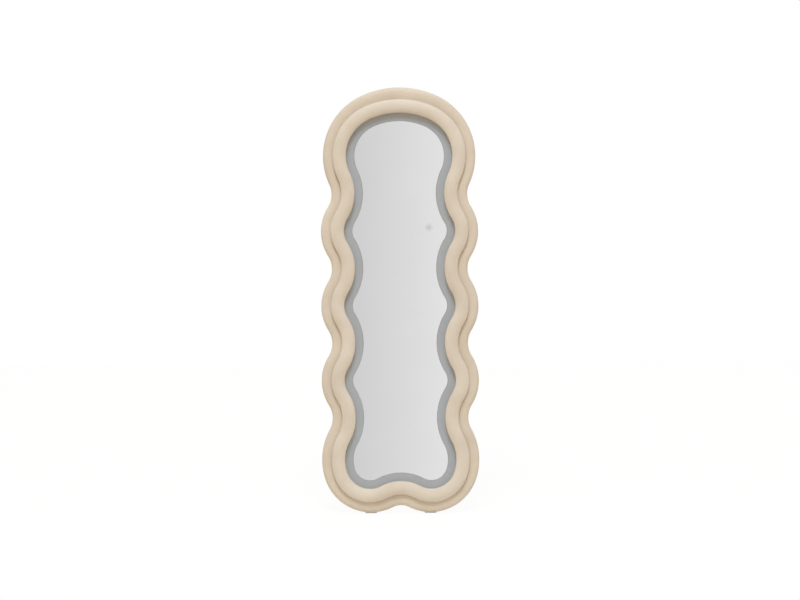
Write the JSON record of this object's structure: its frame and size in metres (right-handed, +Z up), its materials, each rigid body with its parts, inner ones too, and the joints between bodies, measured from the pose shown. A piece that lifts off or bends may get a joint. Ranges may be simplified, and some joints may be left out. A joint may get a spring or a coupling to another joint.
{
  "type": "wavy floor mirror",
  "caption": "Full-length wavy mirror with a two-tier padded flannel frame, frosted light band, touch switch and a folding back stand.",
  "frame": {"origin": "on the floor, midway between the sides and between front and back", "axes": "+Z up, +X to the right seen from the front, front faces -Y"},
  "size_m": [0.5918, 0.363, 1.5843],
  "materials": {
    "flannel_lower": "soft napped flannel",
    "flannel_upper": "soft napped flannel",
    "back_board": "bare fibreboard",
    "core_wood": "bare fibreboard",
    "frosted_acrylic": "frosted",
    "mirror": "silvered",
    "tape": "foam",
    "strip_board": "satin",
    "light_chip": "gloss",
    "black_plastic": "moulded",
    "sensor": "satin",
    "socket_metal": "bright",
    "lead_jacket": "smooth",
    "zinc_steel": "zinc plated",
    "black_steel": "powder coat",
    "fastener": "zinc plated",
    "rubber": "matte",
    "clear_rubber": "milky",
    "stand_paint": "powder coat"
  },
  "bodies": {
    "panel": {"back_panel": "back_board", "lower_core": "core_wood", "lower_padding": "flannel_lower", "upper_core": "core_wood", "upper_padding": "flannel_upper", "light_band": "frosted_acrylic", "mirror_glass": "mirror", "mirror_backing": "core_wood", "mirror_tapes": "tape", "light_strip": "strip_board", "light_chips": "light_chip", "touch_module": "black_plastic", "touch_disc": "sensor", "inlet_housing": "black_plastic", "power_socket": "socket_metal", "supply_lead": "lead_jacket", "light_lead": "lead_jacket", "left_hanger": "zinc_steel", "right_hanger": "zinc_steel", "left_hinge_bracket": "black_steel", "right_hinge_bracket": "black_steel", "pivot_bolts": "fastener", "pivot_nuts": "fastener", "stop_pins": "fastener", "left_floor_pad": "clear_rubber", "right_floor_pad": "clear_rubber"},
    "stand": {"stand_tube": "stand_paint", "left_stand_eye": "black_plastic", "right_stand_eye": "black_plastic", "left_foot_sleeve": "rubber", "right_foot_sleeve": "rubber"}
  },
  "joints": [
    {"name": "stand_hinge", "type": "hinge", "parent": "panel", "child": "stand", "pos_m": [0, 0.03245, 0.98647], "axis": [1, 0, 0], "range_deg": [-16.98, 0]}
  ]
}
